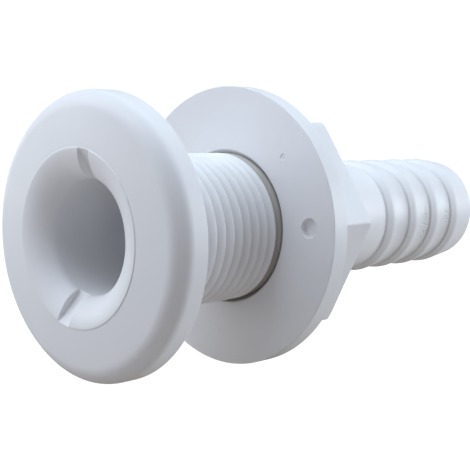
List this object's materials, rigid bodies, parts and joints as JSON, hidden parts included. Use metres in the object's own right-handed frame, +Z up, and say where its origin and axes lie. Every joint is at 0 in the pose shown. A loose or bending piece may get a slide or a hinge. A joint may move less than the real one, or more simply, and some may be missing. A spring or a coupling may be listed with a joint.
{
  "type": "thru hull fitting",
  "caption": "Straight plastic thru hull fitting with a mushroom head, threaded shank, flanged hex nut and ridged hose tail.",
  "frame": {"origin": "on the fitting's axis, in the plane of the head's face that seats on the hull", "axes": "+Y along the axis from the outboard mouth towards the hose tail, +Z up, with the two key notches 11 degrees off Z"},
  "size_m": [0.0692, 0.1408, 0.0692],
  "materials": {
    "body_plastic": "satin white moulded nylon",
    "nut_plastic": "satin white moulded nylon"
  },
  "bodies": {
    "fitting": {"thru_hull_body": "body_plastic"},
    "nut_carriage": {"nut_flange": "nut_plastic"},
    "nut": {"nut_hex": "nut_plastic"}
  },
  "joints": [
    {"name": "nut_travel", "type": "slide", "parent": "fitting", "child": "nut_carriage", "axis": [0, 1, 0], "range_m": [-0.0338, 0.0202]},
    {"name": "nut_spin", "type": "hinge", "parent": "nut_carriage", "child": "nut", "pos_m": [0, 0.038, 0], "axis": [0, 1, 0], "range_deg": [-4316, 2580]}
  ],
  "couplings": [
    {"joint": "nut_spin", "follows": "nut_travel", "rad_per_m": 2228.1}
  ]
}
